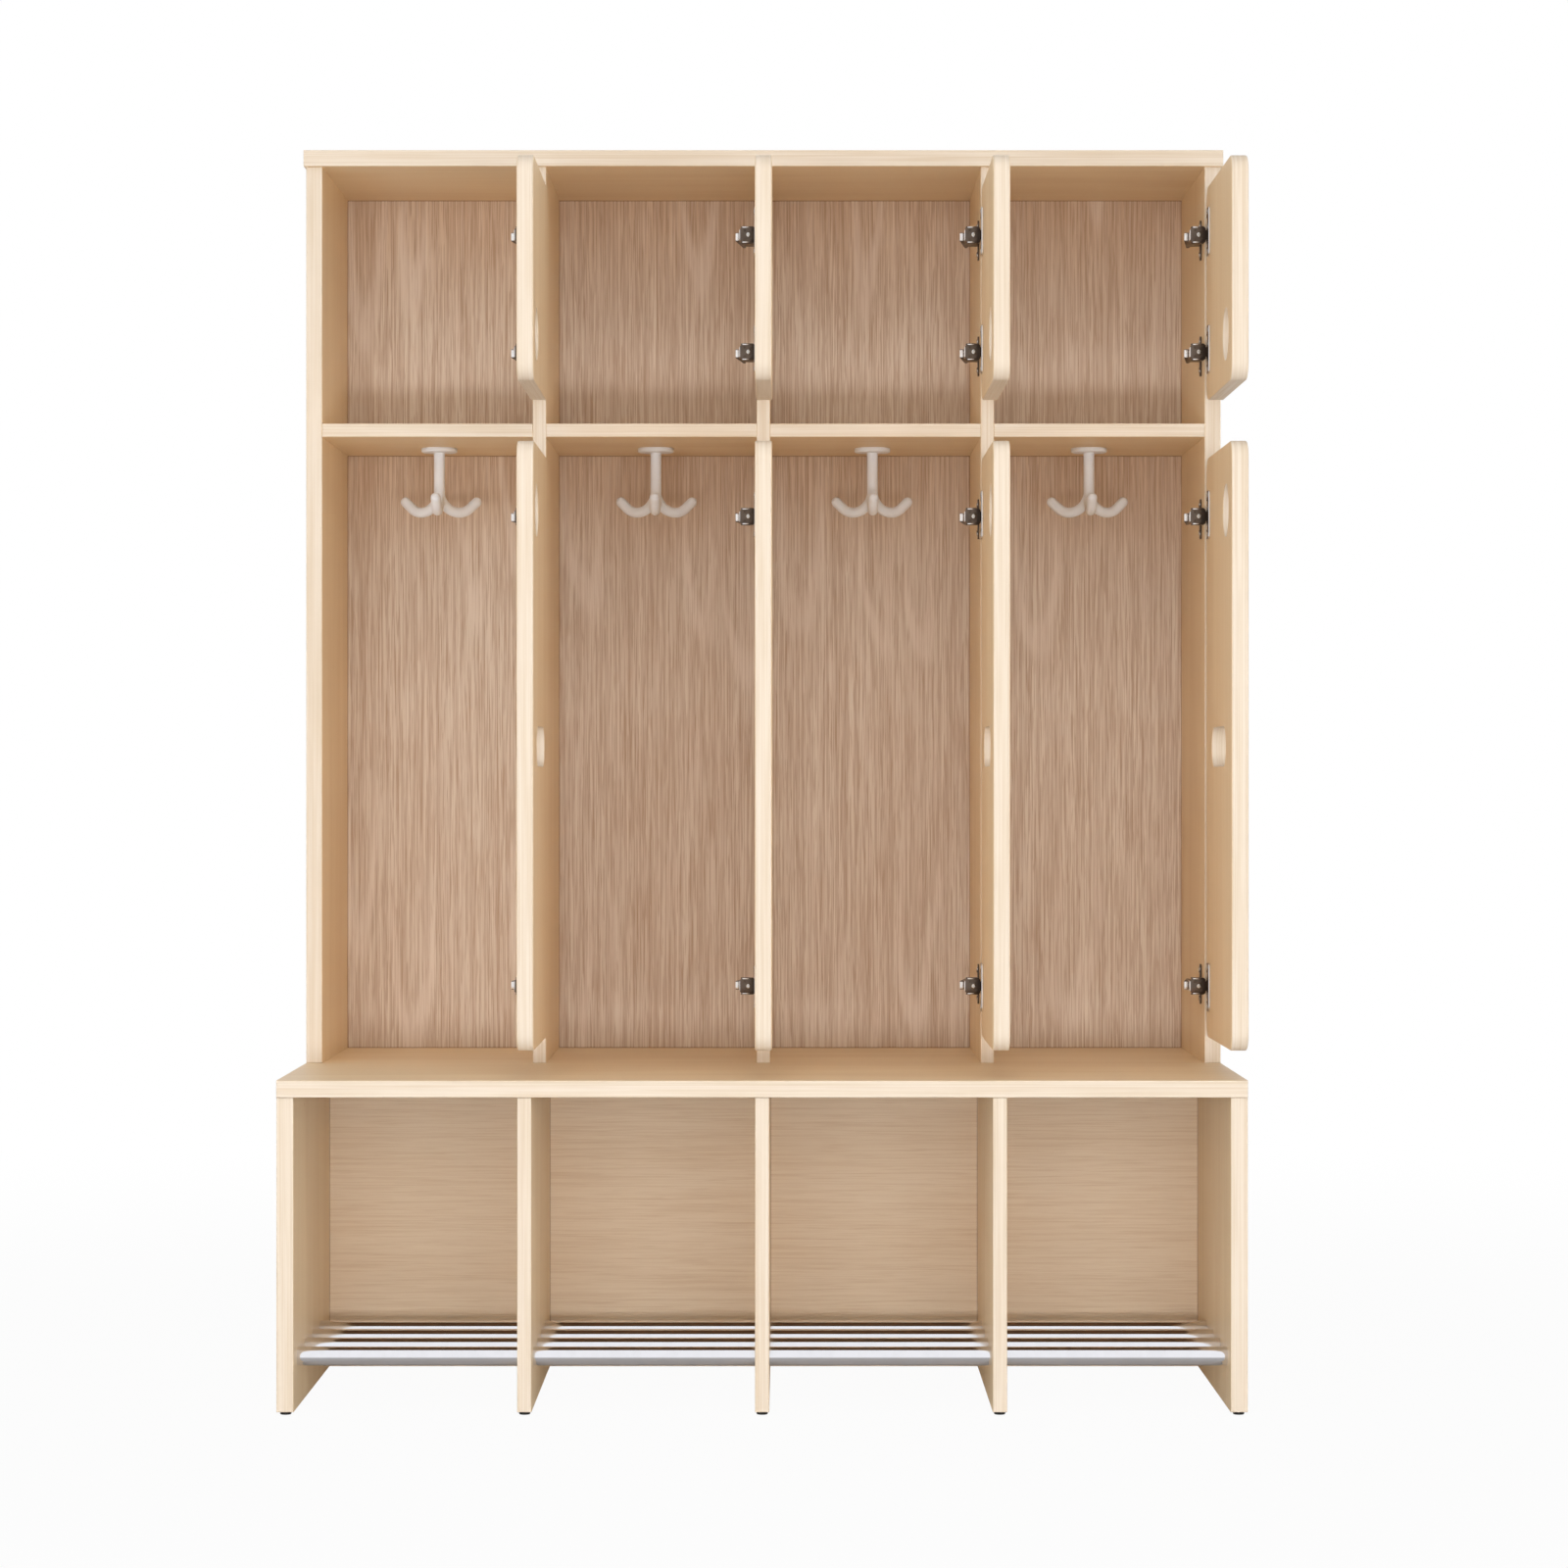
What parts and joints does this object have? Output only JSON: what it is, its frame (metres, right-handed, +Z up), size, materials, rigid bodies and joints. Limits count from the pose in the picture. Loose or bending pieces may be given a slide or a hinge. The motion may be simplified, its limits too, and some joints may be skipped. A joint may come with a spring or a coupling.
{
  "type": "cloakroom unit",
  "caption": "Children's cloakroom unit: bench with open shoe bays and chrome rods below, doored hat compartments and tall coat lockers with hooks above.",
  "frame": {"origin": "on the floor, in the middle of the unit's width and depth", "axes": "+X to the right of someone who faces the unit, -Y to the front, +Z up"},
  "size_m": [1.031, 0.52, 1.377],
  "materials": {
    "cabinet_board": "birch plywood boards, clear matt lacquer, pale layered edges",
    "door_board": "birch plywood doors, clear matt lacquer, pale layered edges",
    "back_panel_upper": "oak-like veneer with upright grain, matt",
    "back_panel_lower": "fine level grain, matt",
    "rod_chrome": "polished chrome tube",
    "hook_plastic": "matt off-white moulded plastic",
    "foot_plastic": "black moulded plastic",
    "screw_steel": "zinc plated",
    "lock_metal": "die-cast zinc",
    "hinge_nickel": "nickel-plated pressed steel"
  },
  "bodies": {
    "cabinet": {"left_side": "cabinet_board", "right_side": "cabinet_board", "top_board": "cabinet_board", "upper_divider_1": "cabinet_board", "upper_divider_2": "cabinet_board", "upper_divider_3": "cabinet_board", "shelf_1": "cabinet_board", "shelf_2": "cabinet_board", "shelf_3": "cabinet_board", "shelf_4": "cabinet_board", "upper_back_panel": "back_panel_upper", "bench_seat": "cabinet_board", "left_leg": "cabinet_board", "right_leg": "cabinet_board", "lower_divider_1": "cabinet_board", "lower_divider_2": "cabinet_board", "lower_divider_3": "cabinet_board", "lower_back_1": "back_panel_lower", "lower_back_2": "back_panel_lower", "lower_back_3": "back_panel_lower", "lower_back_4": "back_panel_lower", "shoe_rod_1": "rod_chrome", "shoe_rod_2": "rod_chrome", "shoe_rod_3": "rod_chrome", "shoe_rod_4": "rod_chrome", "coat_hook_1": "hook_plastic", "coat_hook_2": "hook_plastic", "coat_hook_3": "hook_plastic", "coat_hook_4": "hook_plastic", "feet": "foot_plastic", "hook_screws": "screw_steel", "lock_fittings": "lock_metal", "hinge_arms": "hinge_nickel", "hinge_plates": "hinge_nickel", "hinge_plate_screws": "screw_steel", "hinge_adjusters": "screw_steel"},
    "upper_door_1": {"door_upper_1": "door_board", "hinge_cups_upper_1": "hinge_nickel", "hinge_pins_screws_upper_1": "screw_steel"},
    "upper_door_2": {"door_upper_2": "door_board", "hinge_cups_upper_2": "hinge_nickel", "hinge_pins_screws_upper_2": "screw_steel"},
    "upper_door_3": {"door_upper_3": "door_board", "hinge_cups_upper_3": "hinge_nickel", "hinge_pins_screws_upper_3": "screw_steel"},
    "upper_door_4": {"door_upper_4": "door_board", "hinge_cups_upper_4": "hinge_nickel", "hinge_pins_screws_upper_4": "screw_steel"},
    "lower_door_1": {"door_lower_1": "door_board", "hinge_cups_lower_1": "hinge_nickel", "hinge_pins_screws_lower_1": "screw_steel"},
    "lower_door_2": {"door_lower_2": "door_board", "hinge_cups_lower_2": "hinge_nickel", "hinge_pins_screws_lower_2": "screw_steel"},
    "lower_door_3": {"door_lower_3": "door_board", "hinge_cups_lower_3": "hinge_nickel", "hinge_pins_screws_lower_3": "screw_steel"},
    "lower_door_4": {"door_lower_4": "door_board", "hinge_cups_lower_4": "hinge_nickel", "hinge_pins_screws_lower_4": "screw_steel"}
  },
  "joints": [
    {"name": "upper_door_1_hinge", "type": "hinge", "parent": "cabinet", "child": "upper_door_1", "pos_m": [-0.25025, -0.0135, 1.2145], "axis": [0, 0, 1], "range_deg": [-90, 0]},
    {"name": "upper_door_2_hinge", "type": "hinge", "parent": "cabinet", "child": "upper_door_2", "pos_m": [0.00175, -0.0135, 1.2145], "axis": [0, 0, 1], "range_deg": [-90, 0]},
    {"name": "upper_door_3_hinge", "type": "hinge", "parent": "cabinet", "child": "upper_door_3", "pos_m": [0.25375, -0.0135, 1.2145], "axis": [0, 0, 1], "range_deg": [-90, 0]},
    {"name": "upper_door_4_hinge", "type": "hinge", "parent": "cabinet", "child": "upper_door_4", "pos_m": [0.50575, -0.0135, 1.2145], "axis": [0, 0, 1], "range_deg": [-90, 0]},
    {"name": "lower_door_1_hinge", "type": "hinge", "parent": "cabinet", "child": "lower_door_1", "pos_m": [-0.25025, -0.0135, 0.70725], "axis": [0, 0, 1], "range_deg": [-90, 0]},
    {"name": "lower_door_2_hinge", "type": "hinge", "parent": "cabinet", "child": "lower_door_2", "pos_m": [0.00175, -0.0135, 0.70725], "axis": [0, 0, 1], "range_deg": [-90, 0]},
    {"name": "lower_door_3_hinge", "type": "hinge", "parent": "cabinet", "child": "lower_door_3", "pos_m": [0.25375, -0.0135, 0.70725], "axis": [0, 0, 1], "range_deg": [-90, 0]},
    {"name": "lower_door_4_hinge", "type": "hinge", "parent": "cabinet", "child": "lower_door_4", "pos_m": [0.50575, -0.0135, 0.70725], "axis": [0, 0, 1], "range_deg": [-90, 0]}
  ]
}
